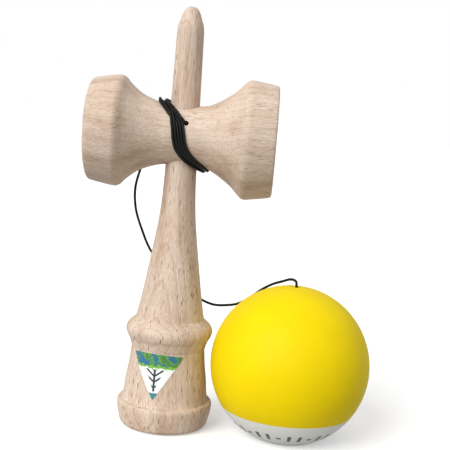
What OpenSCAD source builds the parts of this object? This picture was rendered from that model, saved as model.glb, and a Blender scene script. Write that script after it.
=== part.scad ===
// Kendama: a turned wooden ken with a spike and a base cup, a double-cup crosspiece pressed onto it,
// and a painted ball on a braided string. The string is wound round the crosspiece and the ball
// stands on the rim of its own hole beside the ken. Millimetres, +Z up along the ken.

/* [Ken] */
// Height from the base cup's rim to the tip of the spike
ken_len = 158; // [150:1:170]
// Radius of the flange round the base cup
flange_r = 18.1; // [17:0.1:20]
// Radius of the waist between the flange and the ring
waist_r = 13.9; // [13:0.1:15]
// Radius of the turned ring above the waist
ring_r = 16.4; // [15.5:0.1:18]
// Radius of the spike at its shoulder, under the tip
shoulder_r = 5; // [4.5:0.1:5.2]

/* [Crosspiece] */
// Height of the crosspiece's axis above the floor
cross_z = 110.7; // [106:0.1:116]
// Radius of the crosspiece's waist
cross_waist_r = 10.9; // [10.5:0.1:11.5]
// Radius of the ridge round the big cup
big_ridge_r = 22.2; // [21:0.1:24]
// Radius of the ridge round the small cup
small_ridge_r = 20.7; // [19.5:0.1:22]
// Distance from the ken's axis to the big cup's rim
big_reach = 34.5; // [33:0.1:37]
// Distance from the ken's axis to the small cup's rim
small_reach = 34.7; // [33:0.1:37]
// Radial gap between the ken's taper and the crosspiece's bore
seat_gap = 0.06; // [0.03:0.01:0.1]

/* [Cups] */
// Radius of the dish in the big cup
big_dish_r = 24; // [22:0.5:30]
// Radius of the big cup's mouth
big_mouth_r = 18.8; // [17:0.1:19]
// Radius of the dish in the small cup
small_dish_r = 22; // [20:0.5:30]
// Radius of the small cup's mouth
small_mouth_r = 16.6; // [15:0.1:17]
// Radius of the dish in the base cup
base_dish_r = 18; // [17:0.5:30]
// Radius of the base cup's mouth
base_mouth_r = 13.2; // [12:0.1:13.5]

/* [Ball] */
// Radius of the ball
ball_r = 30; // [29:0.1:31]
// Distance of the ball's axis to the right of the ken's axis
ball_x = 46.7; // [46.5:0.1:60]
// Distance of the ball's axis behind the ken's axis (less than 0 is in front)
ball_y = -2.6; // [-4:0.1:6]
// Radius of the big hole at its mouth
hole_mouth_r = 10.9; // [10.5:0.1:11]
// Radius of the big hole at its inner end
hole_end_r = 7.6; // [7:0.1:8]
// Depth of the big hole along its wall
hole_depth = 38; // [36:1:42]
// Radius of the string hole through the top
string_hole_r = 1.2; // [1:0.1:1.5]

/* [String] */
// Diameter of the string
string_d = 1.05; // [0.9:0.05:1.2]
// Width of the band of turns round the crosspiece
band_w = 4.3; // [4:0.1:4.5]
// Thickness of the band of turns
band_t = 1.9; // [1.5:0.1:2]
// Diameter of the bead that holds the string inside the ball
bead_d = 6; // [5:0.5:7]

/* [Sticker] */
// Thickness of the sticker
sticker_t = 0.14; // [0.1:0.01:0.2]

/* [Hidden] */

wood = [0.87, 0.76, 0.66];
bead_wood = [0.78, 0.60, 0.42];
black = [0.06, 0.06, 0.07];
yellow = [0.93, 0.78, 0.10];
sticker_white = [0.93, 0.94, 0.92];

round_fn = 96;
curve_steps = 4;

// ken: heights of its turned features
foot_flat_r = base_mouth_r + 0.8;
flange_z = 8.7;
crease_z = 10.1;
waist_z = 30.4;
ring_z = 37.1;
collar_z = 43.1;
shoulder_z = ken_len - 9.6;
// the straight taper that the crosspiece sits on, with its radius at each end
seat_low_z = 95.1;
seat_high_z = 128.1;
seat_low_r = 5.95;
seat_high_r = 5.32;

// crosspiece: the string hole in its front, with a pocket for the knot at its inner end
hole_x = 1.5;
hole_z = cross_z + 4.6;
lead_hole_r = 0.75;
lead_hole_len = 8;
pocket_r = 1.9;
pocket_in_y = 4;
pocket_out_y = 8.5;
knot_y = 7.25;
knot_r = 1.15;

// ball: its centre stands so high that its floor flat is just wider than the hole's mouth
ball_flat = 0.7;
ball_z = sqrt(pow(ball_r, 2) - pow(hole_mouth_r + ball_flat, 2));
ball_top_z = ball_z + ball_r;
hole_cone_z = hole_depth + 4;
bead_z = hole_depth - 1.5;
bead_knot_r = 1.6;
tail_top_z = ball_top_z + 0.6;
tail_gap = 0.35;

string_r = string_d / 2;

// the string's free run, from the back of the winding, down behind the ken and up over the ball
run_points = [
    [-9.9, 2.2, 123.2], [-10, 5.8, 122.1], [-10.3, 9.2, 119.7], [-10.9, 12, 115.9],
    [-12, 13.6, 111.1], [-13.6, 14.3, 106.1], [-15.6, 14.6, 100.6], [-17.3, 14.4, 95.1],
    [-18.4, 14.2, 89.6], [-18.4, 14.2, 84.6], [-17.4, 14.3, 79.1], [-15, 14.8, 72.6],
    [-11.5, 15.6, 65.1], [-6.5, 16.4, 58.6], [-1, 16.5, 53.3], [5.1, 15.3, 49.4],
    [10.7, 13.5, 46.6], [15.5, 12.1, 45.3], [20.1, 12, 45.4], [25, 13.1, 46.2],
    [29.6, 13, 49], [34.1, 10.8, 53.1], [38.2, 6.9, 56.3], [41.6, 2.9, 58.3],
    [44.1, -0.4, 59.8], [45.9, -2.2, 59.9], [ball_x, ball_y, tail_top_z + tail_gap]
];
run_steps = 3;
tube_sides = 8;

// a point on the curve through four points, a share t of the way from the second to the third
function through(a, b, c, d, t) =
    0.5 * (2 * b + (c - a) * t + (2 * a - 5 * b + 4 * c - d) * t * t + (3 * b - a - 3 * c + d) * t * t * t);

// a smooth curve through a list of points, with the given steps from each point to the next
function smooth(p, steps) = [
    for (i = [0 : len(p) - 2], k = [0 : steps - 1])
        through(p[max(i - 1, 0)], p[i], p[i + 1], p[min(i + 2, len(p) - 1)], k / steps),
    p[len(p) - 1]
];

// an arc about a centre, from angle a0 to a1
function arc(centre, r, a0, a1, steps) =
    [for (i = [0 : steps]) centre + r * [cos(a0 + (a1 - a0) * i / steps), sin(a0 + (a1 - a0) * i / steps)]];

// a dish's outline from its mouth to its middle, sunk from a mouth of radius m at height 0
function dish(r, m) =
    let (low = sqrt(r * r - m * m), edge = asin(low / r)) arc([0, -low], r, edge, 90, 12);

function unit(v) = v / norm(v);

// the direction of a path of points at point i
function heading(p, i) = unit(p[min(i + 1, len(p) - 1)] - p[max(i - 1, 0)]);

// a solid swept through rings of points that all have the same number of sides
module skin(rings, closed) {
    n = len(rings[0]);
    m = len(rings);
    last = closed ? m - 1 : m - 2;
    sides = [for (i = [0 : last], k = [0 : n - 1])
        [i * n + k, i * n + (k + 1) % n, ((i + 1) % m) * n + (k + 1) % n, ((i + 1) % m) * n + k]];
    ends = closed ? [] : [[for (k = [n - 1 : -1 : 0]) k], [for (k = [0 : n - 1]) (m - 1) * n + k]];
    polyhedron(points = [for (ring = rings) for (p = ring) p], faces = concat(sides, ends), convexity = 6);
}

// one ring of a round tube, square to its path, with its first corner turned towards +Y
function tube_ring(centre, direction, r) =
    let (side = unit(cross(direction, [0, 1, 0.2])), up = cross(side, direction))
    [for (k = [0 : tube_sides - 1])
        centre + r * (cos(360 * k / tube_sides) * side - sin(360 * k / tube_sides) * up)];

module tube(path, r) {
    skin([for (i = [0 : len(path) - 1]) tube_ring(path[i], heading(path, i), r)], false);
}

// the ken's outline from the base cup's mouth to the spike's tip
foot_outline = concat([[base_mouth_r, 0]], smooth([[foot_flat_r, 0], [15.1, 0.25], [16.1, 0.7], [16.75, 1.5],
    [17, 2.4], [17.4, 4], [flange_r - 0.2, 6.3], [flange_r, flange_z], [17.7, crease_z - 0.3],
    [16.8, crease_z]], curve_steps));
body_outline = smooth([[16.55, crease_z + 0.1], [15.95, 12.6], [15.4, 18.1], [14.5, 24.1],
    [waist_r, waist_z]], curve_steps);
ring_outline = smooth([[waist_r + 0.15, waist_z + 0.2], [14.9, 33.3], [15.9, 35.1], [ring_r, ring_z],
    [15.7, 39.1], [13.9, 40.8], [13, 41.5]], curve_steps);
neck_outline = smooth([[12.9, 41.7], [12.4, collar_z + 1], [11.3, 50.1], [9.7, 60.1], [8.5, 68.1],
    [7.1, 78.1], [6.3, 87.1], [seat_low_r, seat_low_z]], curve_steps);
spike_outline = smooth([[seat_high_r, seat_high_z], [5.16, 138.1], [shoulder_r, shoulder_z]], curve_steps);
tip_outline = smooth([[shoulder_r, shoulder_z], [4.7, shoulder_z + 2.6], [3.9, shoulder_z + 5],
    [3.2, shoulder_z + 7], [2.3, shoulder_z + 8.6], [1.2, shoulder_z + 9.4], [0, ken_len]], curve_steps);
base_dish = dish(base_dish_r, base_mouth_r);

module ken() {
    color(wood)
        rotate_extrude($fn = round_fn)
            polygon(concat(foot_outline, body_outline, ring_outline, neck_outline, spike_outline,
                tip_outline, [for (i = [len(base_dish) - 1 : -1 : 1]) base_dish[i]]));
}

// a downward triangle on the front of the ken's body, between the flange and the ring
module sticker() {
    left = [-11.2, 29.7];
    right = [6.9, 29.3];
    low = [-3.2, 13.3];
    top = [-2.2, 29.9];
    shell = [for (p = body_outline) p + [0.03, 0]];
    color(sticker_white)
        intersection() {
            rotate_extrude($fn = round_fn)
                polygon(concat(shell, [for (i = [len(shell) - 1 : -1 : 0]) shell[i] + [sticker_t, 0]]));
            rotate([90, 0, 0])
                linear_extrude(2 * waist_r)
                    polygon([left, low, right, top]);
        }
}

// one half of the crosspiece's outline, from its waist to its cup's mouth: [radius, distance out]
function big_half() = concat(
    smooth([[cross_waist_r, 0], [11.1, 5], [11.6, 8.8], [13, 12], [15.5, 16], [18, 19.2], [20.5, 21.6],
        [21.7, 22.9]], curve_steps),
    smooth([[21.9, 23.2], [big_ridge_r, 24.5], [21.9, 27], [21.3, 31], [20.75, big_reach - 0.8],
        [20.2, big_reach - 0.1], [19.7, big_reach]], curve_steps));
function small_half() = concat(
    smooth([[cross_waist_r, 0], [11.1, 5], [11.55, 8.4], [12.65, 12], [14.4, 16], [17.4, 20], [19.8, 22.3],
        [20.5, 23.3]], curve_steps),
    smooth([[20.6, 23.6], [small_ridge_r, 24.4], [20.4, 27], [19.7, 31], [19.15, small_reach - 1.1],
        [18.6, small_reach - 0.3], [17.9, small_reach]], curve_steps));
big_cup = [for (p = dish(big_dish_r, big_mouth_r)) [p[0], big_reach - p[1]]];
small_cup = [for (p = dish(small_dish_r, small_mouth_r)) [p[0], small_reach - p[1]]];

module sarado() {
    big = concat(big_half(), big_cup);
    small = concat(small_half(), small_cup);
    color(wood)
        difference() {
            translate([0, 0, cross_z])
                rotate([0, 90, 0])
                    rotate_extrude($fn = round_fn)
                        polygon(concat(big, [for (i = [len(small) - 1 : -1 : 1]) [small[i][0], -small[i][1]]]));
            seat_bore();
            translate([hole_x, -pocket_in_y - 1, hole_z])
                rotate([90, 0, 0])
                    cylinder(r = lead_hole_r, h = lead_hole_len, $fn = 32);
            translate([hole_x, -pocket_in_y, hole_z])
                rotate([90, 0, 0])
                    cylinder(r = pocket_r, h = pocket_out_y - pocket_in_y, $fn = 32);
        }
}

// the tapered bore, which follows the ken's straight taper at an even gap
module seat_bore() {
    translate([0, 0, seat_low_z])
        cylinder(r1 = seat_low_r + seat_gap, r2 = seat_high_r + seat_gap, h = seat_high_z - seat_low_z,
            $fn = round_fn);
}

// the knot in the pocket, which keeps the string's end inside the crosspiece
module anchor_knot() {
    color(black)
        translate([hole_x, -knot_y, hole_z])
            rotate([90, 0, 0])
                rotate_extrude($fn = 32)
                    polygon(concat([[0, -knot_r]], arc([0, 0], knot_r, -75, 75, 10), [[0, knot_r]]));
}

// the string from the knot out through the hole and up beside the winding
module string_lead() {
    path = smooth([[hole_x, -knot_y - knot_r - 0.02, hole_z], [hole_x, -9.6, hole_z],
        [hole_x - 0.1, -10.9, hole_z + 0.4], [hole_x - 0.5, -11.2, hole_z + 1.4],
        [hole_x - 1.1, -10.6, hole_z + 2.7]], run_steps);
    color(black)
        tube(path, string_r);
}

// the winding's middle line at angle a round the crosspiece: 0 on top, 90 in front
function wind_x(a) = 0.3 - 6.7 * cos(a) - 1.55 * cos(3 * a) - 0.9 * sin(a);
function wind_r(x) = cross_waist_r + 0.012 * x * x + 0.12 + band_t / 2;
function wind_point(a) =
    let (x = wind_x(a), r = wind_r(x)) [x, -r * sin(a), cross_z + r * cos(a)];

module string_winding() {
    turns_step = 7.5;
    half_w = band_w / 2;
    half_t = band_t / 2;
    edge = 0.5;
    section = [[half_w, edge - half_t], [half_w, half_t - edge], [half_w - edge, half_t],
        [edge - half_w, half_t], [-half_w, half_t - edge], [-half_w, edge - half_t],
        [edge - half_w, -half_t], [half_w - edge, -half_t]];
    color(black)
        skin([for (a = [0 : turns_step : 360 - turns_step])
            let (out = [0, -sin(a), cos(a)], along = unit(wind_point(a + 1) - wind_point(a - 1)),
                across = unit(cross(along, out)))
            [for (s = section) wind_point(a) + s[0] * across + s[1] * out]], true);
}

module string_run() {
    color(black)
        tube(smooth(run_points, run_steps), string_r);
}

module string_tail() {
    color(black)
        translate([ball_x, ball_y, bead_z - bead_d / 2])
            cylinder(r = string_r, h = tail_top_z - bead_z + bead_d / 2, $fn = 32);
}

module bead() {
    color(bead_wood)
        translate([ball_x, ball_y, bead_z])
            difference() {
                sphere(d = bead_d, $fn = 48);
                cylinder(r = string_r + 0.15, h = 2 * bead_d, center = true, $fn = 32);
            }
}

module bead_knot() {
    color(black)
        translate([ball_x, ball_y, bead_z - bead_d / 2 - bead_knot_r - 0.02])
            sphere(r = bead_knot_r, $fn = 32);
}

module ball() {
    flat_r = hole_mouth_r + ball_flat;
    foot_angle = -asin(ball_z / ball_r);
    dimple_r = string_hole_r + 0.9;
    top_angle = acos(dimple_r / ball_r);
    color(yellow)
        translate([ball_x, ball_y, 0])
            rotate_extrude($fn = round_fn)
                polygon(concat(
                    [[hole_mouth_r, 0]],
                    arc([0, ball_z], ball_r, foot_angle, top_angle, 60),
                    [[string_hole_r, ball_top_z - 1.4], [string_hole_r, hole_cone_z],
                        [hole_end_r, hole_depth]]));
}

ken();
sticker();
sarado();
anchor_knot();
string_lead();
string_winding();
string_run();
string_tail();
bead();
bead_knot();
ball();
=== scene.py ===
import math
import bmesh
import bpy
import numpy as np
from mathutils import Matrix, Vector


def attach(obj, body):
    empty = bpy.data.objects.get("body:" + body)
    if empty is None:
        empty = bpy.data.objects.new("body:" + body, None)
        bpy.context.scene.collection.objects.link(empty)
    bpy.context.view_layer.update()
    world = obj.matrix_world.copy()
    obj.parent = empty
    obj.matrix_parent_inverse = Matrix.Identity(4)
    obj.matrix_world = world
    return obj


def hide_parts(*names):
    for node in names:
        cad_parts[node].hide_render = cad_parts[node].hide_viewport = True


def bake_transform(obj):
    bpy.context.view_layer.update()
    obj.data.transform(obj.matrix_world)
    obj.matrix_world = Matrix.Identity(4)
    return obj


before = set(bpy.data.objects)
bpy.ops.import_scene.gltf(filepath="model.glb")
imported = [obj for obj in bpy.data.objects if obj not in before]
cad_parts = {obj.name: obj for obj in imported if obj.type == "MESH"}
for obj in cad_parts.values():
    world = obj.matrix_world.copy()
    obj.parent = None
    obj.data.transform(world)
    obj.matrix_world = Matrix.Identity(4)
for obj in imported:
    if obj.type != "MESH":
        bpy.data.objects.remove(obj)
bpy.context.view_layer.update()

# A kendama: a turned beech ken with a spike and a base cup, a crosspiece (sarado) with two cups, and a painted
# ball on a braided string. Sizes are in millimetres until a mesh is made; MM turns them to metres.
MM = 0.001

# ---- sizes shared by several pieces, as in the CAD model
CROSS_Z = 110.7
WAIST_R = 10.9
BIG_REACH = 34.5
SMALL_REACH = 34.7
# the cups' dishes, as (radius of the dish, radius of its mouth)
BIG_DISH = (24, 18.8)
SMALL_DISH = (22, 16.6)
BASE_DISH = (18, 13.2)
# the ends of the straight taper that the crosspiece sits on, as (radius, height), and the gap round it
SEAT_LOW = (5.95, 95.1)
SEAT_HIGH = (5.32, 128.1)
SEAT_GAP = 0.06
BALL_R = 30.0
BALL_X = 46.7
BALL_Y = -2.6
HOLE_MOUTH_R = 10.9
HOLE_END_R = 7.6
HOLE_DEPTH = 38.0
# the ball stands on a narrow flat round its hole's mouth, and this is its centre's height
BALL_FLAT = 0.7
BALL_Z = math.sqrt(BALL_R ** 2 - (HOLE_MOUTH_R + BALL_FLAT) ** 2)
PAINT_LINE_Z = 11.4
STRING_D = 1.05
STRING_R = STRING_D / 2
STRING_HOLE_X = 1.5
STRING_HOLE_Z = CROSS_Z + 4.6


def colour(text):
    """An sRGB hex colour as linear RGBA."""
    parts = [int(text[i:i + 2], 16) / 255 for i in (1, 3, 5)]
    return tuple(c / 12.92 if c <= 0.04045 else ((c + 0.055) / 1.055) ** 2.4 for c in parts) + (1.0,)


def smooth(points, steps):
    """A smooth curve through the points, with the given steps from each one to the next."""
    p = np.array(points, float)
    padded = np.vstack([p[:1], p, p[-1:]])
    out = []
    for a, b, c, d in zip(padded[:-3], padded[1:-2], padded[2:-1], padded[3:]):
        for t in np.arange(steps) / steps:
            out.append(0.5 * (2 * b + (c - a) * t + (2 * a - 5 * b + 4 * c - d) * t ** 2
                              + (3 * b - a - 3 * c + d) * t ** 3))
    return np.array(out + [p[-1]])


def arc(centre, radius, start, end, steps):
    """Points on a circular arc between two angles in degrees."""
    angles = np.radians(np.linspace(start, end, steps + 1))
    return np.array(centre) + radius * np.stack([np.cos(angles), np.sin(angles)], 1)


def dish(radius, mouth, steps=40):
    """A cup's hollow from its mouth, at height 0, to its middle."""
    low = math.sqrt(radius ** 2 - mouth ** 2)
    return arc((0, -low), radius, math.degrees(math.asin(low / radius)), 90, steps)


def add(tree, kind, settings=(), links=(), stops=()):
    """Adds a node. settings are its properties, links give each input a value or another node's output, and stops
    are a colour ramp's (place, colour) pairs."""
    made = tree.nodes.new(kind)
    for name, value in dict(settings).items():
        setattr(made, name, value)
    for name, value in dict(links).items():
        if isinstance(value, bpy.types.NodeSocket):
            tree.links.new(value, made.inputs[name])
        else:
            made.inputs[name].default_value = value
    for _ in stops[2:]:
        made.color_ramp.elements.new(0.5)
    for i, (place, value) in enumerate(stops):
        made.color_ramp.elements[i].position = place
        made.color_ramp.elements[i].color = value
    return made


GREY = [(v, v, v, 1.0) for v in (0.0, 1.0)]


# ---- camera and light

CAMERA_PLACE = (27.42, -336.48, 115.49)
CAMERA_YAW_PITCH_ROLL = (-1.583, -6.287, 4.443)
CAMERA_LENS = 71.886


def place_camera():
    """A portrait-distance camera, a little above the toy and tilted with it."""
    yaw, pitch, roll = (math.radians(a) for a in CAMERA_YAW_PITCH_ROLL)
    forward = Vector((math.sin(yaw) * math.cos(pitch), math.cos(yaw) * math.cos(pitch), math.sin(pitch)))
    level_right = Vector((math.cos(yaw), -math.sin(yaw), 0))
    level_up = level_right.cross(forward)
    right = level_right * math.cos(roll) + level_up * math.sin(roll)
    up = level_up * math.cos(roll) - level_right * math.sin(roll)
    data = bpy.data.cameras.new("camera")
    data.sensor_width = 36
    data.lens = CAMERA_LENS
    data.clip_start = 0.01
    camera = bpy.data.objects.new("camera", data)
    camera.matrix_world = Matrix.Translation(Vector(CAMERA_PLACE) * MM) @ Matrix(
        (right, up, -forward)).transposed().to_4x4()
    bpy.context.scene.collection.objects.link(camera)
    bpy.context.scene.camera = camera


def light_studio():
    """One big soft key from the front left, and pale walls all round that are dimmer towards the floor."""
    key = bpy.data.lights.new("key_window", "SUN")
    key.energy = 2.8
    key.angle = math.radians(40)
    key.color = colour("#fffdfa")[:3]
    light = bpy.data.objects.new("key_window", key)
    light.rotation_euler = Vector((0.5, 0.66, -0.56)).to_track_quat("-Z", "Y").to_euler()
    bpy.context.scene.collection.objects.link(light)
    world = bpy.data.worlds.new("studio")
    world.use_nodes = True
    tree = world.node_tree
    tree.nodes.clear()
    # the walls look white, but the light they give the toy is dimmer, most of all from below
    way = add(tree, "ShaderNodeTexCoord").outputs["Generated"]
    height = add(tree, "ShaderNodeSeparateXYZ", links={0: way}).outputs["Z"]
    share = add(tree, "ShaderNodeMapRange", links={"Value": height, "From Min": -1.0}).outputs[0]
    tones = add(tree, "ShaderNodeValToRGB", links={"Fac": share},
                stops=[(0.4, (0.24,) * 3 + (1,)), (0.52, (0.6,) * 3 + (1,)), (1.0, (0.64,) * 3 + (1,))]).outputs[0]
    path = add(tree, "ShaderNodeLightPath")
    walls = add(tree, "ShaderNodeBackground", links={"Color": tones, "Strength": 1.0})
    seen = add(tree, "ShaderNodeBackground", links={"Color": colour("#ffffff"), "Strength": 1.0})
    both = add(tree, "ShaderNodeMixShader",
               links={0: path.outputs["Is Camera Ray"], 1: walls.outputs[0], 2: seen.outputs[0]})
    add(tree, "ShaderNodeOutputWorld", links={"Surface": both.outputs[0]})
    bpy.context.scene.world = world
    bpy.context.scene.view_settings.view_transform = "Standard"


def lay_floor():
    """A white table that glows a little, and a small unseen card on it that throws light back up at the toy."""
    for name, tone, glow, half, height in (("white_table", "#e6e6e6", 0.34, 20.0, 0.0),
                                           ("bounce_card", "#b4b2ad", 0.0, 0.075, -0.0005)):
        finish, _, shader = new_finish(name)
        shader.inputs["Base Color"].default_value = colour(tone)
        shader.inputs["Roughness"].default_value = 0.9
        shader.inputs["Specular IOR Level"].default_value = 0.0
        shader.inputs["Emission Color"].default_value = colour("#ffffff")
        shader.inputs["Emission Strength"].default_value = glow
        mesh = bpy.data.meshes.new(name)
        corners = [(-half, -half, height), (half, -half, height), (half, half, height), (-half, half, height)]
        mesh.from_pydata(corners, [], [(0, 1, 2, 3)])
        mesh.materials.append(finish)
        floor = bpy.data.objects.new(name, mesh)
        seen = name == "white_table"
        floor.visible_camera = seen
        floor.visible_diffuse = not seen
        floor.visible_shadow = False
        bpy.context.scene.collection.objects.link(floor)


# ---- finishes

def new_finish(name):
    """A material with an empty tree but for its shader and output: (material, tree, shader)."""
    finish = bpy.data.materials.new(name)
    finish.use_nodes = True
    tree = finish.node_tree
    tree.nodes.clear()
    shader = add(tree, "ShaderNodeBsdfPrincipled")
    add(tree, "ShaderNodeOutputMaterial", links={"Surface": shader.outputs[0]})
    return finish, tree, shader


def bare_beech(name, grain_turn, pith, light="#dac6b5", deep="#c7ae99", dash=1.0):
    """Bare beech, turned and fine-sanded: pale pinkish tan, soft growth rings, and short dark ray dashes along
    the grain. It gives the eye a matt, dry surface. All of the pattern is in millimetres, with the grain on Z."""
    finish, tree, shader = new_finish(name)
    place = add(tree, "ShaderNodeTexCoord").outputs["Object"]
    grain = add(tree, "ShaderNodeMapping",
                links={"Vector": place, "Location": pith, "Rotation": grain_turn, "Scale": (1000, 1000, 1000)})
    mm = grain.outputs["Vector"]

    # slow bends in the grain, a few millimetres over a hand's length
    slow = add(tree, "ShaderNodeMapping", links={"Vector": mm, "Scale": (0.03, 0.03, 0.012)})
    bend = add(tree, "ShaderNodeTexNoise", links={"Vector": slow.outputs[0], "Scale": 1.0, "Detail": 2.0})
    bend_mm = add(tree, "ShaderNodeVectorMath", {"operation": "SCALE"}, {0: bend.outputs["Color"], "Scale": 9.0})
    bent = add(tree, "ShaderNodeVectorMath", {"operation": "ADD"}, {0: mm, 1: bend_mm.outputs[0]})

    # growth rings about 2.4 mm apart round a pith outside the piece
    rings = add(tree, "ShaderNodeTexWave",
                {"wave_type": "RINGS", "rings_direction": "Z", "wave_profile": "SAW"},
                {"Vector": bent.outputs[0], "Scale": 0.13, "Distortion": 1.2, "Detail": 2.0, "Detail Scale": 0.6})
    ring_tone = add(tree, "ShaderNodeValToRGB", links={"Fac": rings.outputs["Fac"]},
                    stops=[(0.0, GREY[0]), (0.75, (0.25,) * 3 + (1,)), (0.97, GREY[1]), (1.0, GREY[0])]).outputs[0]

    # broad pink and cream streaks
    wide = add(tree, "ShaderNodeMapping", links={"Vector": bent.outputs[0], "Scale": (0.16, 0.16, 0.02)})
    streaks = add(tree, "ShaderNodeTexNoise", links={"Vector": wide.outputs[0], "Scale": 1.0, "Detail": 3.0})

    # fibres a fifth of a millimetre wide and many times as long
    thin = add(tree, "ShaderNodeMapping", links={"Vector": bent.outputs[0], "Scale": (3.2, 3.2, 0.16)})
    fibres = add(tree, "ShaderNodeTexNoise", links={"Vector": thin.outputs[0], "Scale": 1.0, "Detail": 3.0})

    # ray dashes: lens-shaped spots 0.3 mm wide and 2 to 3 mm along the grain, and a finer, fainter set
    dashes = []
    for size, kept, strength in (((0.7, 2.6, 5.6), 0.7 * dash, dash), ((0.42, 1.3, 2.4), 0.6, 0.5)):
        cell = add(tree, "ShaderNodeMapping",
                   links={"Vector": bent.outputs[0], "Scale": tuple(1 / s for s in size)})
        spots = add(tree, "ShaderNodeTexVoronoi", {"feature": "F1"}, {"Vector": cell.outputs[0], "Scale": 1.0})
        inside = add(tree, "ShaderNodeValToRGB", links={"Fac": spots.outputs["Distance"]},
                     stops=[(0.16, GREY[1]), (0.26, GREY[0])]).outputs[0]
        pick = add(tree, "ShaderNodeSeparateColor", links={"Color": spots.outputs["Color"]})
        chosen = add(tree, "ShaderNodeMath", {"operation": "LESS_THAN"}, {0: pick.outputs["Red"], 1: kept})
        depth = add(tree, "ShaderNodeMapRange", links={"Value": pick.outputs["Green"], "To Min": 0.35}).outputs[0]
        varied = add(tree, "ShaderNodeMath", {"operation": "MULTIPLY"}, {0: chosen.outputs[0], 1: depth})
        shown = add(tree, "ShaderNodeMath", {"operation": "MULTIPLY"}, {0: varied.outputs[0], 1: inside})
        scaled = add(tree, "ShaderNodeMath", {"operation": "MULTIPLY"}, {0: shown.outputs[0], 1: strength})
        dashes.append(scaled.outputs[0])
    all_dashes = add(tree, "ShaderNodeMath", {"operation": "MAXIMUM"}, {0: dashes[0], 1: dashes[1]}).outputs[0]

    base = add(tree, "ShaderNodeValToRGB", links={"Fac": streaks.outputs["Fac"]},
               stops=[(0.3, colour(deep)), (0.5, colour(light)), (0.72, colour("#e1d0c1"))]).outputs[0]
    ringed_share = add(tree, "ShaderNodeMath", {"operation": "MULTIPLY"}, {0: ring_tone, 1: 0.4 * dash})
    ringed = add(tree, "ShaderNodeMix", {"data_type": "RGBA"},
                 {0: ringed_share.outputs[0], 6: base, 7: colour("#a98669")}).outputs[2]
    fibre_tone = add(tree, "ShaderNodeValToRGB", links={"Fac": fibres.outputs["Fac"]},
                     stops=[(0.34, (0.76, 0.74, 0.71, 1)), (0.6, (1, 1, 1, 1))]).outputs[0]
    fibred = add(tree, "ShaderNodeMix", {"data_type": "RGBA", "blend_type": "MULTIPLY"},
                 {0: 1.0, 6: ringed, 7: fibre_tone}).outputs[2]
    dash_share = add(tree, "ShaderNodeMath", {"operation": "MULTIPLY"}, {0: all_dashes, 1: 0.95})
    dashed = add(tree, "ShaderNodeMix", {"data_type": "RGBA"},
                 {0: dash_share.outputs[0], 6: fibred, 7: colour("#6e4a35")}).outputs[2]
    tree.links.new(dashed, shader.inputs["Base Color"])

    # faint lathe lines across the grain, under the fibres and the dashes
    lathe_space = add(tree, "ShaderNodeMapping", links={"Vector": mm, "Scale": (0.02, 0.02, 2.4)})
    lathe = add(tree, "ShaderNodeTexNoise", links={"Vector": lathe_space.outputs[0], "Scale": 1.0, "Detail": 2.0})
    heights = add(tree, "ShaderNodeMath", {"operation": "MULTIPLY_ADD"},
                  {0: fibres.outputs["Fac"], 1: 0.6, 2: lathe.outputs["Fac"]})
    sunk = add(tree, "ShaderNodeMath", {"operation": "SUBTRACT"}, {0: heights.outputs[0], 1: all_dashes})
    bump = add(tree, "ShaderNodeBump", links={"Strength": 0.25, "Distance": 0.00005, "Height": sunk.outputs[0]})
    tree.links.new(bump.outputs[0], shader.inputs["Normal"])
    rough = add(tree, "ShaderNodeMapRange",
                links={"Value": fibres.outputs["Fac"], "To Min": 0.52, "To Max": 0.7})
    tree.links.new(rough.outputs[0], shader.inputs["Roughness"])
    shader.inputs["Specular IOR Level"].default_value = 0.35
    return finish


def satin_paint():
    """Sprayed satin enamel on wood: yellow above the masked line and white below it, with a fine spray texture."""
    finish, tree, shader = new_finish("satin_enamel_yellow_and_white")
    place = add(tree, "ShaderNodeTexCoord").outputs["Object"]
    height = add(tree, "ShaderNodeSeparateXYZ", links={"Vector": place}).outputs["Z"]
    # the masked edge wanders by a twentieth of a millimetre
    wander = add(tree, "ShaderNodeTexNoise", links={"Vector": place, "Scale": 350.0, "Detail": 2.0})
    edge = add(tree, "ShaderNodeMath", {"operation": "MULTIPLY_ADD"},
               {0: wander.outputs["Fac"], 1: 0.0001, 2: height})
    line = PAINT_LINE_Z * MM
    above = add(tree, "ShaderNodeMapRange",
                links={"Value": edge.outputs[0], "From Min": line - 0.00008 + 0.00005,
                       "From Max": line + 0.00008 + 0.00005})
    cloud = add(tree, "ShaderNodeTexNoise", links={"Vector": place, "Scale": 60.0, "Detail": 3.0})
    yellow = add(tree, "ShaderNodeValToRGB", links={"Fac": cloud.outputs["Fac"]},
                 stops=[(0.3, colour("#e6ca00")), (0.7, colour("#ecd100"))]).outputs[0]
    white = add(tree, "ShaderNodeValToRGB", links={"Fac": cloud.outputs["Fac"]},
                stops=[(0.3, colour("#dfe2e2")), (0.7, colour("#e8ebeb"))]).outputs[0]
    coat = add(tree, "ShaderNodeMix", {"data_type": "RGBA"}, {0: above.outputs[0], 6: white, 7: yellow})
    tree.links.new(coat.outputs[2], shader.inputs["Base Color"])
    # spray texture: droplets about 0.4 mm across, and the paint's own edge stands a hair proud
    peel = add(tree, "ShaderNodeTexNoise", links={"Vector": place, "Scale": 2500.0, "Detail": 1.0})
    relief = add(tree, "ShaderNodeMath", {"operation": "MULTIPLY_ADD"},
                 {0: peel.outputs["Fac"], 1: 0.35, 2: above.outputs[0]})
    bump = add(tree, "ShaderNodeBump", links={"Strength": 0.3, "Distance": 0.00003, "Height": relief.outputs[0]})
    tree.links.new(bump.outputs[0], shader.inputs["Normal"])
    rough = add(tree, "ShaderNodeMapRange", links={"Value": cloud.outputs["Fac"], "To Min": 0.5, "To Max": 0.6})
    tree.links.new(rough.outputs[0], shader.inputs["Roughness"])
    shader.inputs["Specular IOR Level"].default_value = 0.12
    return finish


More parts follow.
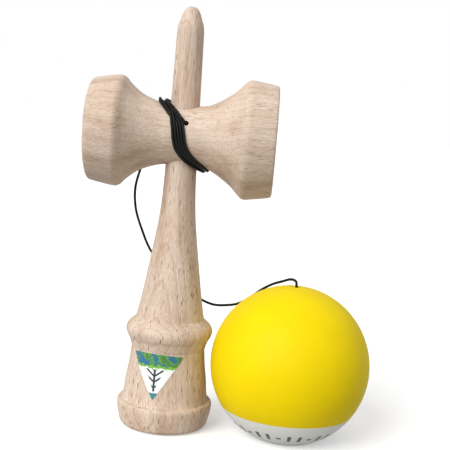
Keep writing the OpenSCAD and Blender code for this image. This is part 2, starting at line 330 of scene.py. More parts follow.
def print_ink():
    """Black pad-printing ink, a thin satin film."""
    finish, tree, shader = new_finish("black_printing_ink")
    place = add(tree, "ShaderNodeTexCoord").outputs["Object"]
    worn = add(tree, "ShaderNodeTexNoise", links={"Vector": place, "Scale": 1500.0, "Detail": 3.0})
    tone = add(tree, "ShaderNodeValToRGB", links={"Fac": worn.outputs["Fac"]},
               stops=[(0.35, colour("#101114")), (0.75, colour("#22242a"))]).outputs[0]
    tree.links.new(tone, shader.inputs["Base Color"])
    shader.inputs["Roughness"].default_value = 0.45
    return finish


def braided_nylon():
    """Black braided nylon cord: its fine threads run along the cord, drawn on the cord's own UV, and give it a dull
    sheen. The eight strands' over and under is in the mesh."""
    finish, tree, shader = new_finish("black_braided_nylon")
    around = add(tree, "ShaderNodeUVMap", {"uv_map": "cord"})
    fine = add(tree, "ShaderNodeMapping", links={"Vector": around.outputs[0], "Scale": (48.0, 3.0, 1.0)})
    threads = add(tree, "ShaderNodeTexNoise", links={"Vector": fine.outputs[0], "Scale": 1.0, "Detail": 2.0})
    tone = add(tree, "ShaderNodeValToRGB", links={"Fac": threads.outputs["Fac"]},
               stops=[(0.3, colour("#020203")), (0.7, colour("#090a0c"))]).outputs[0]
    tree.links.new(tone, shader.inputs["Base Color"])
    bump = add(tree, "ShaderNodeBump", links={"Strength": 0.4, "Distance": 0.00003,
                                              "Height": threads.outputs["Fac"]})
    tree.links.new(bump.outputs[0], shader.inputs["Normal"])
    shader.inputs["Roughness"].default_value = 0.5
    shader.inputs["Specular IOR Level"].default_value = 0.22
    return finish


def waxed_bead():
    """A small waxed hardwood bead, darker and glossier than the bare beech."""
    finish, tree, shader = new_finish("waxed_hardwood_bead")
    place = add(tree, "ShaderNodeTexCoord").outputs["Object"]
    long = add(tree, "ShaderNodeMapping", links={"Vector": place, "Scale": (1800, 1800, 250)})
    grain = add(tree, "ShaderNodeTexNoise", links={"Vector": long.outputs[0], "Scale": 1.0, "Detail": 3.0})
    tone = add(tree, "ShaderNodeValToRGB", links={"Fac": grain.outputs["Fac"]},
               stops=[(0.3, colour("#9c6b42")), (0.7, colour("#d0a074"))]).outputs[0]
    tree.links.new(tone, shader.inputs["Base Color"])
    shader.inputs["Roughness"].default_value = 0.35
    return finish


# ---- turned pieces, made by one tree that spins an outline round an axis

def turning_tree():
    """Geometry nodes that spin an outline, given as a line of points (radius, 0, height), round Z."""
    tree = bpy.data.node_groups.new("turn_on_lathe", "GeometryNodeTree")
    face = tree.interface
    face.new_socket("Outline", in_out="INPUT", socket_type="NodeSocketGeometry")
    face.new_socket("Sides", in_out="INPUT", socket_type="NodeSocketInt")
    face.new_socket("Rows", in_out="INPUT", socket_type="NodeSocketInt")
    face.new_socket("Place", in_out="INPUT", socket_type="NodeSocketVector")
    face.new_socket("Turn", in_out="INPUT", socket_type="NodeSocketVector")
    face.new_socket("Finish", in_out="INPUT", socket_type="NodeSocketMaterial")
    face.new_socket("Turned", in_out="OUTPUT", socket_type="NodeSocketGeometry")
    given = add(tree, "NodeGroupInput").outputs
    columns = add(tree, "ShaderNodeMath", {"operation": "ADD"}, {0: given["Sides"], 1: 1.0})
    sheet = add(tree, "GeometryNodeMeshGrid",
                links={"Size X": 1.0, "Size Y": 1.0, "Vertices X": columns.outputs[0], "Vertices Y": given["Rows"]})
    flat = add(tree, "ShaderNodeSeparateXYZ", links={0: add(tree, "GeometryNodeInputPosition").outputs[0]})
    last_row = add(tree, "ShaderNodeMath", {"operation": "SUBTRACT"}, {0: given["Rows"], 1: 1.0})
    share = add(tree, "ShaderNodeMath", {"operation": "ADD"}, {0: flat.outputs["Y"], 1: 0.5})
    row = add(tree, "ShaderNodeMath", {"operation": "MULTIPLY"}, {0: share.outputs[0], 1: last_row.outputs[0]})
    whole = add(tree, "FunctionNodeFloatToInt", {"rounding_mode": "ROUND"}, {0: row.outputs[0]})
    station = add(tree, "GeometryNodeSampleIndex", {"data_type": "FLOAT_VECTOR", "domain": "POINT"},
                  {"Geometry": given["Outline"], "Value": add(tree, "GeometryNodeInputPosition").outputs[0],
                   "Index": whole.outputs[0]})
    parts = add(tree, "ShaderNodeSeparateXYZ", links={0: station.outputs["Value"]})
    angle = add(tree, "ShaderNodeMath", {"operation": "MULTIPLY_ADD"},
                {0: flat.outputs["X"], 1: math.tau, 2: math.pi})
    across = [add(tree, "ShaderNodeMath", {"operation": kind}, {0: angle.outputs[0]}) for kind in ("COSINE", "SINE")]
    x, y = (add(tree, "ShaderNodeMath", {"operation": "MULTIPLY"}, {0: a.outputs[0], 1: parts.outputs["X"]})
            for a in across)
    spun = add(tree, "ShaderNodeCombineXYZ", links={"X": x.outputs[0], "Y": y.outputs[0], "Z": parts.outputs["Z"]})
    shaped = add(tree, "GeometryNodeSetPosition", links={"Geometry": sheet.outputs["Mesh"],
                                                         "Position": spun.outputs[0]})
    closed = add(tree, "GeometryNodeMergeByDistance", links={"Geometry": shaped.outputs[0], "Distance": 0.000002})
    placed = add(tree, "GeometryNodeTransform", links={"Geometry": closed.outputs[0],
                                                       "Translation": given["Place"], "Rotation": given["Turn"]})
    real = add(tree, "GeometryNodeRealizeInstances", links={0: placed.outputs[0]})
    coated = add(tree, "GeometryNodeSetMaterial", links={"Geometry": real.outputs[0], "Material": given["Finish"]})
    add(tree, "NodeGroupOutput", links={0: coated.outputs[0]})
    return tree


def run_tree(name, mesh, tree, values):
    """Runs a geometry tree on a mesh with the given inputs, and returns the result as a plain object."""
    carrier = bpy.data.objects.new(name + "_start", mesh)
    bpy.context.scene.collection.objects.link(carrier)
    modifier = carrier.modifiers.new("made_by_rule", "NODES")
    modifier.node_group = tree
    sockets = {s.name: s.identifier for s in tree.interface.items_tree if s.in_out == "INPUT"}
    for key, value in values.items():
        modifier[sockets[key]] = value
    return settle(name, carrier)


def settle(name, carrier):
    """Turns a carrier with live modifiers into a plain mesh object, and removes the carrier."""
    bpy.context.view_layer.update()
    shape = bpy.data.meshes.new_from_object(carrier.evaluated_get(bpy.context.evaluated_depsgraph_get()))
    carrier.modifiers.clear()
    bpy.data.objects.remove(carrier)
    shape.name = name
    finishes = [m for m in shape.materials if m]
    shape.materials.clear()
    for finish in finishes:
        shape.materials.append(finish)
    shape.polygons.foreach_set("material_index", [0] * len(shape.polygons))
    piece = bpy.data.objects.new(name, shape)
    bpy.context.scene.collection.objects.link(piece)
    return piece


def face_outwards(piece, crease=35.0):
    """Points the faces outwards, and shades smooth except across edges sharper than crease degrees."""
    shape = bmesh.new()
    shape.from_mesh(piece.data)
    bmesh.ops.recalc_face_normals(shape, faces=shape.faces)
    shape.to_mesh(piece.data)
    shape.free()
    piece.data.shade_smooth()
    piece.data.set_sharp_from_angle(angle=math.radians(crease))


def turned(name, outline, finish, place=(0, 0, 0), turn=(0, 0, 0), sides=160):
    """A closed turned piece from its outline in millimetres: rows of (radius, height), from pole to pole or
    round a ring."""
    points = [(r * MM, 0.0, z * MM) for r, z in outline]
    mesh = bpy.data.meshes.new(name + "_outline")
    mesh.from_pydata(points, [(i, i + 1) for i in range(len(points) - 1)], [])
    piece = run_tree(name, mesh, LATHE, {
        "Sides": sides, "Rows": len(points), "Place": [v * MM for v in place], "Turn": list(turn), "Finish": finish})
    face_outwards(piece)
    return piece


LATHE = turning_tree()
STEPS = 10

# ---- the ken's outline, bottom to top

BODY_OUTLINE = smooth([(16.55, 10.2), (15.95, 12.6), (15.4, 18.1), (14.5, 24.1), (13.9, 30.4)], STEPS)


def ken_outline():
    """Rows of (radius, height) from the middle of the base cup, round the foot and up to the spike's tip."""
    hollow = dish(*BASE_DISH)[::-1]
    foot = smooth([(14, 0), (15.1, 0.25), (16.1, 0.7), (16.75, 1.5), (17, 2.4), (17.4, 4), (17.9, 6.3), (18.1, 8.7),
                   (17.7, 9.8), (16.8, 10.1)], STEPS)
    ring = smooth([(14.05, 30.6), (14.9, 33.3), (15.9, 35.1), (16.4, 37.1), (15.7, 39.1), (13.9, 40.8), (13, 41.5)],
                  STEPS)
    neck = smooth([(12.9, 41.7), (12.4, 44.1), (11.3, 50.1), (9.7, 60.1), (8.5, 68.1), (7.1, 78.1), (6.3, 87.1),
                   SEAT_LOW], STEPS)
    spike = smooth([SEAT_HIGH, (5.16, 138.1), (5, 148.4)], STEPS)
    tip = smooth([(5, 148.4), (4.7, 151), (3.9, 153.4), (3.2, 155.4), (2.3, 157), (1.2, 157.8), (0, 158)], STEPS)
    # the straight taper is cut into short rows, so that its long faces shade evenly
    taper = np.linspace(neck[-1], spike[0], 24)[1:-1]
    return np.vstack([hollow, foot, BODY_OUTLINE, ring, neck, taper, spike, tip[1:]])


def make_ken():
    """The ken, turned from one length of beech with its grain upright."""
    beech = bare_beech("bare_beech_ken", (0, 0, 0), (9, 34, 0))
    ken = turned("turned_ken", ken_outline(), beech, sides=180)
    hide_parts("ken")
    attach(ken, "ken")


# ---- the crosspiece

def sarado_outline():
    """The outsides of the big and the small half: rows of (radius, distance from the ken's axis)."""
    big = np.vstack([
        smooth([(WAIST_R, 0), (11.1, 5), (11.6, 8.8), (13, 12), (15.5, 16), (18, 19.2), (20.5, 21.6), (21.7, 22.9)],
               STEPS),
        smooth([(21.9, 23.2), (22.2, 24.5), (21.9, 27), (21.3, 31), (20.75, BIG_REACH - 0.8),
                (20.2, BIG_REACH - 0.1), (19.7, BIG_REACH)], STEPS)])
    small = np.vstack([
        smooth([(WAIST_R, 0), (11.1, 5), (11.55, 8.4), (12.65, 12), (14.4, 16), (17.4, 20), (19.8, 22.3),
                (20.5, 23.3)], STEPS),
        smooth([(20.6, 23.6), (20.7, 24.4), (20.4, 27), (19.7, 31), (19.15, SMALL_REACH - 1.1),
                (18.6, SMALL_REACH - 0.3), (17.9, SMALL_REACH)], STEPS)])
    return big, small


BIG_HALF, SMALL_HALF = sarado_outline()


def waist_radius(x):
    """The crosspiece's radius at a distance from the ken's axis, near its waist."""
    half = BIG_HALF if x >= 0 else SMALL_HALF
    return float(np.interp(abs(x), half[:, 1], half[:, 0]))


def cutter(name, low_r, high_r, length, base, turn):
    """A plain tapered plug from base, along Z before it is turned, that only cuts."""
    outline = [(0, 0), (low_r, 0), (high_r, length), (0, length)]
    return turned(name, outline, None, base, turn, sides=96)


def cut_away(name, piece, tools):
    """The piece with each tool's shape cut out of it. The tools are removed."""
    for tool in tools:
        modifier = piece.modifiers.new("cut", "BOOLEAN")
        modifier.operation = "DIFFERENCE"
        modifier.solver = "EXACT"
        modifier.object = tool
    result = settle(name, piece)
    for tool in tools:
        bpy.data.objects.remove(tool)
    return result


def make_sarado():
    """The crosspiece, turned with its grain along its axis, then bored for the ken and drilled for the string."""
    beech = bare_beech("bare_beech_sarado", (0, -math.pi / 2, 0), (-14, 31, 5), dash=0.6)
    big_cup = [(r, BIG_REACH - z) for r, z in dish(*BIG_DISH)]
    small_cup = [(r, z - SMALL_REACH) for r, z in dish(*SMALL_DISH)]
    small_side = [(r, -z) for r, z in SMALL_HALF]
    outline = [*big_cup[::-1], *BIG_HALF[::-1], *small_side[1:], *small_cup]
    whole = turned("sarado_whole", outline, beech, (0, 0, CROSS_Z), (0, math.pi / 2, 0), sides=192)
    seat = cutter("seat_cutter", SEAT_LOW[0] + SEAT_GAP, SEAT_HIGH[0] + SEAT_GAP, SEAT_HIGH[1] - SEAT_LOW[1],
                  (0, 0, SEAT_LOW[1]), (0, 0, 0))
    hole = cutter("string_hole_cutter", 0.75, 0.95, 6, (STRING_HOLE_X, -5, STRING_HOLE_Z), (math.pi / 2, 0, 0))
    pocket = cutter("pocket_cutter", 1.9, 1.9, 4.5, (STRING_HOLE_X, -4, STRING_HOLE_Z), (math.pi / 2, 0, 0))
    sarado = cut_away("turned_sarado", whole, [seat, hole, pocket])
    face_outwards(sarado)
    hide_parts("sarado")
    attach(sarado, "sarado")


# ---- the ball

def make_ball():
    """The ball with its tapered hole, bare wood inside the hole and paint outside."""
    paint = satin_paint()
    beech = bare_beech("bare_beech_ball", (0, 0, 0), (20, 26, 0), "#d6bfa9", "#bb9a7e")
    string_hole_r, dimple_r, top = 1.2, 2.1, BALL_Z + BALL_R
    foot = -math.degrees(math.asin(BALL_Z / BALL_R))
    crown = math.degrees(math.acos(dimple_r / BALL_R))
    outside = arc((0, BALL_Z), BALL_R, foot, crown, 150)
    dimple = smooth([outside[-1], (1.7, top - 0.35), (1.35, top - 0.8), (string_hole_r, top - 1.5)], 5)[1:]
    inside = [(string_hole_r, 50), (string_hole_r, HOLE_DEPTH + 4.3), (1.5, HOLE_DEPTH + 3.9),
              (HOLE_END_R - 0.3, HOLE_DEPTH + 0.2), (HOLE_END_R, HOLE_DEPTH - 0.4)]
    wall = np.linspace((HOLE_END_R, HOLE_DEPTH - 0.4), (HOLE_MOUTH_R, 0.35), 30)[1:]
    mouth = [(HOLE_MOUTH_R + 0.12, 0.1), (HOLE_MOUTH_R + 0.35, 0.0)]
    outline = np.vstack([outside, dimple, inside, wall, mouth, outside[:1]])
    ball = turned("painted_ball", outline, paint, (BALL_X, BALL_Y, 0), sides=192)
    ball.data.materials.append(beech)
    for face in ball.data.polygons:
        middle = face.center - Vector((BALL_X, BALL_Y, 0)) * MM
        radius = math.hypot(middle.x, middle.y) / MM
        in_hole = 1.0 * MM < middle.z < (HOLE_DEPTH + 4.2) * MM and radius < HOLE_MOUTH_R
        face.material_index = int(in_hole)
    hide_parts("ball")
    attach(ball, "ball")


def marks_tree():
    """Geometry nodes for a ring of plain bars and dots printed round the ball's white zone."""
    tree = bpy.data.node_groups.new("ring_of_marks", "GeometryNodeTree")
    face = tree.interface
    face.new_socket("Start", in_out="INPUT", socket_type="NodeSocketGeometry")
    face.new_socket("Count", in_out="INPUT", socket_type="NodeSocketInt")
    for name in ("Ring Radius", "Ring Height", "Bar Width", "Bar Height", "Dot Radius", "Ball Radius", "Film"):
        face.new_socket(name, in_out="INPUT", socket_type="NodeSocketFloat")
    face.new_socket("Centre", in_out="INPUT", socket_type="NodeSocketVector")
    face.new_socket("Ink", in_out="INPUT", socket_type="NodeSocketMaterial")
    face.new_socket("Marks", in_out="OUTPUT", socket_type="NodeSocketGeometry")
    given = add(tree, "NodeGroupInput").outputs
    ring = add(tree, "GeometryNodeMeshCircle", links={"Vertices": given["Count"], "Radius": given["Ring Radius"]})
    index = add(tree, "GeometryNodeInputIndex").outputs[0]
    bar = add(tree, "GeometryNodeMeshGrid", links={"Size X": given["Bar Height"], "Size Y": given["Bar Width"],
                                                   "Vertices X": 7, "Vertices Y": 3})
    dot = add(tree, "GeometryNodeMeshCircle", {"fill_type": "TRIANGLE_FAN"},
              {"Vertices": 20, "Radius": given["Dot Radius"]})
    shapes = add(tree, "GeometryNodeGeometryToInstance")
    tree.links.new(bar.outputs["Mesh"], shapes.inputs[0])
    tree.links.new(dot.outputs["Mesh"], shapes.inputs[0])
    # two bars and then a dot, all the way round
    third = add(tree, "ShaderNodeMath", {"operation": "MODULO"}, {0: index, 1: 3.0})
    shape = add(tree, "ShaderNodeMath", {"operation": "GREATER_THAN"}, {0: third.outputs[0], 1: 0.5})
    turn_z = add(tree, "ShaderNodeMath", {"operation": "DIVIDE"}, {0: math.tau, 1: given["Count"]})
    angle = add(tree, "ShaderNodeMath", {"operation": "MULTIPLY"}, {0: index, 1: turn_z.outputs[0]})
    stand = add(tree, "ShaderNodeCombineXYZ", links={"Y": math.pi / 2, "Z": angle.outputs[0]})
    copies = add(tree, "GeometryNodeInstanceOnPoints",
                 links={"Points": ring.outputs["Mesh"], "Instance": shapes.outputs[0], "Pick Instance": True,
                        "Instance Index": shape.outputs[0], "Rotation": stand.outputs[0]})
    real = add(tree, "GeometryNodeRealizeInstances", links={0: copies.outputs[0]})
    lift = add(tree, "ShaderNodeCombineXYZ", links={"Z": given["Ring Height"]})
    raised = add(tree, "GeometryNodeSetPosition", links={"Geometry": real.outputs[0], "Offset": lift.outputs[0]})
    # press every point onto the ball, then give the ink its thickness
    here = add(tree, "GeometryNodeInputPosition").outputs[0]
    unit = add(tree, "ShaderNodeVectorMath", {"operation": "NORMALIZE"}, {0: here})
    out = add(tree, "ShaderNodeVectorMath", {"operation": "SCALE"},
              {0: unit.outputs[0], "Scale": given["Ball Radius"]})
    pressed = add(tree, "GeometryNodeSetPosition", links={"Geometry": raised.outputs[0], "Position": out.outputs[0]})
    moved = add(tree, "GeometryNodeTransform", links={"Geometry": pressed.outputs[0],
                                                      "Translation": given["Centre"]})
    film = add(tree, "GeometryNodeExtrudeMesh", {"mode": "FACES"},
               {"Mesh": moved.outputs[0], "Offset Scale": given["Film"], "Individual": False})
    back = add(tree, "GeometryNodeFlipFaces", links={"Mesh": moved.outputs[0]})
    joined = add(tree, "GeometryNodeJoinGeometry")
    tree.links.new(film.outputs["Mesh"], joined.inputs[0])
    tree.links.new(back.outputs["Mesh"], joined.inputs[0])
    sewn = add(tree, "GeometryNodeMergeByDistance", links={"Geometry": joined.outputs[0], "Distance": 0.000002})
    inked = add(tree, "GeometryNodeSetMaterial", links={"Geometry": sewn.outputs[0], "Material": given["Ink"]})
    add(tree, "NodeGroupOutput", links={0: inked.outputs[0]})
    return tree


def make_marks():
    """The band of bars and dots printed on the ball's white zone, as a thin film of ink."""
    # the ring's middle is 5.2 mm over the table
    ring_z = 5.2 - BALL_Z
    marks = run_tree("printed_marks", bpy.data.meshes.new("marks_start"), marks_tree(), {
        "Count": 33, "Ring Radius": math.sqrt(BALL_R ** 2 - ring_z ** 2) * MM, "Ring Height": ring_z * MM,
        "Bar Width": 1.3 * MM, "Bar Height": 6.4 * MM, "Dot Radius": 1.0 * MM, "Ball Radius": (BALL_R - 0.02) * MM,
        "Film": 0.05 * MM, "Centre": [BALL_X * MM, BALL_Y * MM, BALL_Z * MM], "Ink": print_ink()})
    face_outwards(marks)
    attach(marks, "ball")


# ---- the string

def band_middle(angle):
    """Where the middle of the winding crosses the crosspiece at an angle round it: 0 on top, 90 in front."""
    a = math.radians(angle)
    x = 0.3 - 6.7 * math.cos(a) - 1.55 * math.cos(3 * a) - 0.9 * math.sin(a)
    r = waist_radius(x) + STRING_R
    return np.array([x, -r * math.sin(a), CROSS_Z + r * math.cos(a)])


# the turns in the band: angle travelled, sideways place from the band's middle, height over the wood
TURNS = [
    (50, 1.35, 1.0), (45, 1.15, 0.85), (25, 1.35, 0.4), (0, 1.47, 0), (-90, 1.47, 0), (-180, 1.47, 0),
    (-225, 1.5, 0), (-270, 1.75, 0), (-295, 1.7, 0),
    (-315, 0.42, 0), (-360, 0.49, 0), (-450, 0.49, 0), (-540, 0.49, 0), (-585, 0.5, 0), (-630, 0.72, 0),
    (-655, 0.75, 0),
    (-675, -0.56, 0), (-720, -0.49, 0), (-810, -0.49, 0), (-900, -0.49, 0), (-945, -0.48, 0), (-990, -0.31, 0),
    (-1015, -0.22, 0),
    (-1035, -1.5, 0.1), (-1080, -1.47, 0), (-1170, -1.47, 0), (-1260, -1.47, 0), (-1305, -1.47, 0),
    (-1350, -1.34, 0), (-1372, -1.18, 0.2),
    (-1395, -0.08, 0.9), (-1440, 0.98, 0.88), (-1530, 0.98, 0.88), (-1620, 0, 0.88), (-1665, -1.6, 0.75),
    (-1688, -2.35, 0.2), (-1710, -2.37, 0), (-1732, -2.1, 0.15),
    (-1755, -1.05, 0.88), (-1778, -1.1, 0.85), (-1800, -1.6, 0.7),
]

# from the knot's pocket, out of the string hole and up beside the winding
LEAD_POINTS = [(1.5, -8.4, 115.3), (1.5, -8.9, 115.3), (1.3, -9.95, 115.5), (0.77, -10.72, 116.05),
               (0.03, -11, 116.8), (-0.59, -10.8, 117.43)]

# down behind the ken, up over the ball and into its string hole
RUN_POINTS = [
    (-9.9, 2.2, 123.2), (-10, 5.8, 122.1), (-10.3, 9.2, 119.7), (-10.9, 12, 115.9), (-12, 13.6, 111.1),
    (-13.6, 14.3, 106.1), (-15.6, 14.6, 100.6), (-17.3, 14.4, 95.1), (-18.4, 14.2, 89.6), (-18.4, 14.2, 84.6),
    (-17.4, 14.3, 79.1), (-15, 14.8, 72.6), (-11.5, 15.6, 65.1), (-6.5, 16.4, 58.6), (-1, 16.5, 53.3),
    (5.1, 15.3, 49.4), (10.7, 13.5, 46.6), (15.5, 12.1, 45.3), (20.1, 12, 45.4), (25, 13.1, 46.2),
    (29.6, 13, 49), (34.1, 10.8, 53.1), (38.2, 6.9, 56.3), (41.6, 2.9, 58.3), (44.1, -0.4, 59.8),
    (45.9, -2.2, 59.9), (BALL_X, BALL_Y, 58.6), (BALL_X, BALL_Y, 53), (BALL_X, BALL_Y, 43), (BALL_X, BALL_Y, 33.5),
]


def winding_points():
    """The string's line round the crosspiece, a few degrees at a time."""
    keys = np.array(TURNS, float)[::-1]
    points = []
    for angle in np.arange(TURNS[0][0], TURNS[-1][0] - 1, -4.0):
        aside = np.interp(angle, keys[:, 0], keys[:, 1])
        lift = np.interp(angle, keys[:, 0], keys[:, 2])
        here = band_middle(angle)
        along = band_middle(angle - 1) - band_middle(angle + 1)
        out = np.array([0, here[1], here[2] - CROSS_Z])
        across = np.cross(out, along)
        across *= math.copysign(1, across[0]) / np.linalg.norm(across)
        moved = here + aside * across
        centre = np.array([moved[0], 0, CROSS_Z])
        spoke = moved - centre
        radius = waist_radius(moved[0]) + STRING_R + 0.04 + lift
        points.append(centre + spoke / np.linalg.norm(spoke) * radius)
    return points


def even_path(points, spacing):
    """The smooth line through the points, as points an even distance apart."""
    line = smooth(points, 12)
    travelled = np.concatenate([[0], np.cumsum(np.linalg.norm(np.diff(line, axis=0), axis=1))])
    stops = np.linspace(0, travelled[-1], int(travelled[-1] / spacing) + 1)
    return np.stack([np.interp(stops, travelled, line[:, i]) for i in range(3)], 1)


def cord_mesh(name, path, radius, sides, finish, braid=0.0, pitch=1.5):
    """A closed tube along a path in millimetres, with UVs in turns round it and millimetres along it. braid is
    how far its eight strands stand proud, and pitch the length of one crossing."""
    path = np.asarray(path, float)
    heading = np.gradient(path, axis=0)
    heading /= np.linalg.norm(heading, axis=1)[:, None]
    side = np.cross(heading[0], (0.3, 0.2, 1.0))
    travelled = np.concatenate([[0], np.cumsum(np.linalg.norm(np.diff(path, axis=0), axis=1))])
    turns = math.tau * np.arange(sides) / sides
    rings = []
    for point, ahead, run in zip(path, heading, travelled):
        side = side - ahead * np.dot(side, ahead)
        side /= np.linalg.norm(side)
        up = np.cross(ahead, side)
        phase = math.tau * run / pitch
        weave = np.cos(4 * turns + phase) * np.cos(4 * turns - phase)
        reach = radius - braid + braid * weave  # strands cross where the two waves meet
        rings.append(point + (np.cos(turns) * reach)[:, None] * side + (np.sin(turns) * reach)[:, None] * up)
    mesh = bpy.data.meshes.new(name)
    count = len(rings)
    faces = [(r * sides + k, r * sides + (k + 1) % sides, (r + 1) * sides + (k + 1) % sides, (r + 1) * sides + k)
             for r in range(count - 1) for k in range(sides)]
    faces.append(tuple(range(sides - 1, -1, -1)))
    faces.append(tuple((count - 1) * sides + k for k in range(sides)))
    mesh.from_pydata((np.concatenate(rings) * MM).tolist(), [], faces)
    layer = mesh.uv_layers.new(name="cord")
    for face in mesh.polygons:
        for corner, vertex in zip(face.loop_indices, face.vertices):
            ring, k = divmod(vertex, sides)
            # the last column's far corners are a full turn round, not back at 0
            seam = 1 if k == 0 and max(face.vertices) % sides == sides - 1 and len(face.vertices) == 4 else 0
            layer.data[corner].uv = (k / sides + seam, travelled[ring])
    mesh.materials.append(finish)
    piece = bpy.data.objects.new(name, mesh)
    bpy.context.scene.collection.objects.link(piece)
    face_outwards(piece, 60.0)
    return piece


def make_string(nylon):
    """The whole string as one piece: (piece, its path in millimetres)."""
    path = even_path(LEAD_POINTS + winding_points() + RUN_POINTS, 0.24)
    string = cord_mesh("braided_string", path, STRING_R, 16, nylon, braid=0.035)
    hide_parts("string_lead", "string_winding", "string_run", "string_tail")
    return string, path


def make_knot(name, centre, size, finish, turn, node, body):
    """A small overhand knot: a tube along a trefoil, pulled tight."""
    t = np.linspace(0, math.tau, 72)
    loop = np.stack([np.sin(t) + 2 * np.sin(2 * t), np.cos(t) - 2 * np.cos(2 * t), -np.sin(3 * t)], 1)
    loop = loop / 3.0 * (size - STRING_R * 0.9)
    spun = loop @ np.array(Matrix.Rotation(turn, 3, "X")).T
    knot = cord_mesh(name, spun + np.array(centre), STRING_R * 0.9, 12, finish, braid=0.04)
    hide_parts(node)
    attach(knot, body)
    return knot


def make_bead():
    """The bead that keeps the string's end inside the ball."""
    centre_z, radius, hole = HOLE_DEPTH - 1.5, 3.0, 0.68
    edge = math.degrees(math.acos(hole / radius))
    outside = arc((0, 0), radius, -edge, edge, 40)
    outline = np.vstack([outside, [(hole, 1.5), (hole, -1.5)], outside[:1]])
    bead = turned("wooden_bead", outline, waxed_bead(), (BALL_X, BALL_Y, centre_z), sides=64)
    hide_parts("bead")
    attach(bead, "string_end")
    return bead


# ---- the sticker

# its corners on the ken's body, as (distance round from the front, height), how far its top edge bows up, and the
# place that its print is measured from
STICKER_LEFT = np.array([-13.1, 29.7])
STICKER_RIGHT = np.array([7.3, 29.3])
STICKER_LOW = np.array([-3.2, 13.3])
STICKER_BOW = 0.6
STICKER_MIDDLE = np.array([-3.1, 24.1])


def printed_vinyl():
    """Printed vinyl film under a clear gloss: a leafy green and blue band and tip, and plain strokes on white.
    The UV map is in centimetres from the sticker's middle."""
    finish, tree, shader = new_finish("printed_vinyl_film")
    flat = add(tree, "ShaderNodeUVMap", {"uv_map": "film"}).outputs[0]
    mm = add(tree, "ShaderNodeVectorMath", {"operation": "SCALE"}, {0: flat, "Scale": 10.0}).outputs[0]
    parts = add(tree, "ShaderNodeSeparateXYZ", links={0: mm}).outputs
    u, v = parts["X"], parts["Y"]
    leafy = add(tree, "ShaderNodeTexNoise", links={"Vector": mm, "Scale": 0.33, "Detail": 1.5, "Distortion": 0.5})
    print_tones = [(0.0, colour("#1d4a3c")), (0.4, colour("#3c7a2c")), (0.47, colour("#5f9a35")),
                   (0.51, colour("#23706e")), (0.57, colour("#14639c")), (0.66, colour("#1f6a70"))]
    leaves = add(tree, "ShaderNodeValToRGB", links={"Fac": leafy.outputs["Fac"]}, stops=print_tones).outputs[0]

    # the band's ragged lower edge, 4 mm under the top, with a bright green fringe along it
    ragged = add(tree, "ShaderNodeTexNoise", links={"Vector": mm, "Scale": 0.8, "Detail": 2.0})
    drop = add(tree, "ShaderNodeMath", {"operation": "MULTIPLY_ADD"}, {0: ragged.outputs["Fac"], 1: 3.0, 2: v})
    in_band = add(tree, "ShaderNodeMath", {"operation": "GREATER_THAN"}, {0: drop.outputs[0], 1: 3.1}).outputs[0]
    in_fringe = add(tree, "ShaderNodeMath", {"operation": "GREATER_THAN"}, {0: drop.outputs[0], 1: 2.3}).outputs[0]
    in_tip = add(tree, "ShaderNodeMath", {"operation": "LESS_THAN"}, {0: v, 1: -8.2}).outputs[0]

    # a dark sprig: a stem with three pairs of slanting strokes, each pair wider than the one below
    spread = add(tree, "ShaderNodeMath", {"operation": "ABSOLUTE"}, {0: u}).outputs[0]
    slant = add(tree, "ShaderNodeMath", {"operation": "MULTIPLY_ADD"}, {0: spread, 1: -0.75, 2: v}).outputs[0]
    beat = add(tree, "ShaderNodeMath", {"operation": "PINGPONG"}, {0: slant, 1: 1.05}).outputs[0]
    reach = add(tree, "ShaderNodeMath", {"operation": "MULTIPLY_ADD"}, {0: v, 1: 0.42, 2: 3.3}).outputs[0]
    masks = []
    for first, limit in ((beat, 0.4), (spread, reach), (v, 0.4), (spread, 0.4), (v, -0.2)):
        masks.append(add(tree, "ShaderNodeMath", {"operation": "LESS_THAN"}, {0: first, 1: limit}).outputs[0])
    above = add(tree, "ShaderNodeMath", {"operation": "GREATER_THAN"}, {0: v, 1: -7.6}).outputs[0]
    strokes = add(tree, "ShaderNodeMath", {"operation": "MULTIPLY"}, {0: masks[0], 1: masks[1]}).outputs[0]
    strokes = add(tree, "ShaderNodeMath", {"operation": "MULTIPLY"}, {0: strokes, 1: masks[2]}).outputs[0]
    stem = add(tree, "ShaderNodeMath", {"operation": "MULTIPLY"}, {0: masks[3], 1: masks[4]}).outputs[0]
    sprig = add(tree, "ShaderNodeMath", {"operation": "MAXIMUM"}, {0: strokes, 1: stem}).outputs[0]
    sprig = add(tree, "ShaderNodeMath", {"operation": "MULTIPLY"}, {0: sprig, 1: above}).outputs[0]

    tones = colour("#e9eeee")
    for mask, tone in ((sprig, colour("#1b2c33")), (in_fringe, colour("#6fae34")), (in_band, leaves),
                       (in_tip, colour("#2a7f88"))):
        tones = add(tree, "ShaderNodeMix", {"data_type": "RGBA"}, {0: mask, 6: tones, 7: tone}).outputs[2]
    tree.links.new(tones, shader.inputs["Base Color"])
    shader.inputs["Roughness"].default_value = 0.32
    shader.inputs["Coat Weight"].default_value = 0.25
    shader.inputs["Coat Roughness"].default_value = 0.2
    return finish


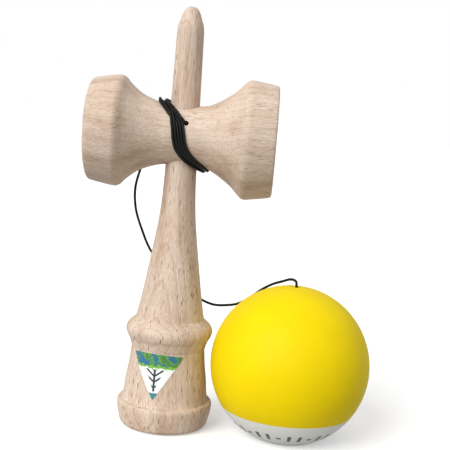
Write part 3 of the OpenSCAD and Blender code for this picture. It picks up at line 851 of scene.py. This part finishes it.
def make_sticker():
    """The film's triangle laid round the ken's body, bent only one way, with a true thickness."""
    rows, lift, thick = 40, 0.03, 0.12
    places, corners = {}, []
    for j in range(rows + 1):
        for i in range(rows + 1 - j):
            across, down = i / rows, j / rows
            flat = (STICKER_LEFT * (1 - across - down) + STICKER_RIGHT * across + STICKER_LOW * down)
            flat = flat + (0, 4 * STICKER_BOW * across * (1 - across - down))
            places[i, j] = len(corners)
            corners.append(flat)
    faces = []
    for (i, j) in places:
        if (i + 1, j) in places and (i, j + 1) in places:
            faces.append((places[i, j], places[i, j + 1], places[i + 1, j]))
    for (i, j) in places:
        if i > 0 and (i - 1, j + 1) in places and (i, j + 1) in places:
            faces.append((places[i, j], places[i - 1, j + 1], places[i, j + 1]))
    verts = []
    for around, height in corners:
        radius = float(np.interp(height, BODY_OUTLINE[:, 1], BODY_OUTLINE[:, 0]))
        angle = around / radius
        reach = (radius + lift) * MM
        verts.append((reach * math.sin(angle), -reach * math.cos(angle), height * MM))
    mesh = bpy.data.meshes.new("sticker_film")
    mesh.from_pydata(verts, [], faces)
    layer = mesh.uv_layers.new(name="film")
    for loop in mesh.loops:
        layer.data[loop.index].uv = (corners[loop.vertex_index] - STICKER_MIDDLE) / 10
    mesh.materials.append(printed_vinyl())
    film = bpy.data.objects.new("sticker_film", mesh)
    bpy.context.scene.collection.objects.link(film)
    thickness = film.modifiers.new("film_thickness", "SOLIDIFY")
    thickness.thickness = thick * MM
    thickness.offset = 1.0
    sticker = settle("sticker_film", film)
    face_outwards(sticker)
    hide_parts("sticker")
    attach(sticker, "ken")


place_camera()
light_studio()
lay_floor()
nylon = braided_nylon()
string, string_path = make_string(nylon)
anchor = make_knot("anchor_knot_tied", (STRING_HOLE_X, -7.25, STRING_HOLE_Z), 1.15, nylon, math.pi / 2,
                   "anchor_knot", "sarado")
end_knot = make_knot("bead_knot_tied", (BALL_X, BALL_Y, 31.9), 1.6, nylon, 0.0, "bead_knot", "string_end")
bead = make_bead()
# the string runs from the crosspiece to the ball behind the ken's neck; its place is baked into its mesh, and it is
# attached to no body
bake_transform(string)
make_ken()
make_sarado()
make_ball()
make_marks()
make_sticker()
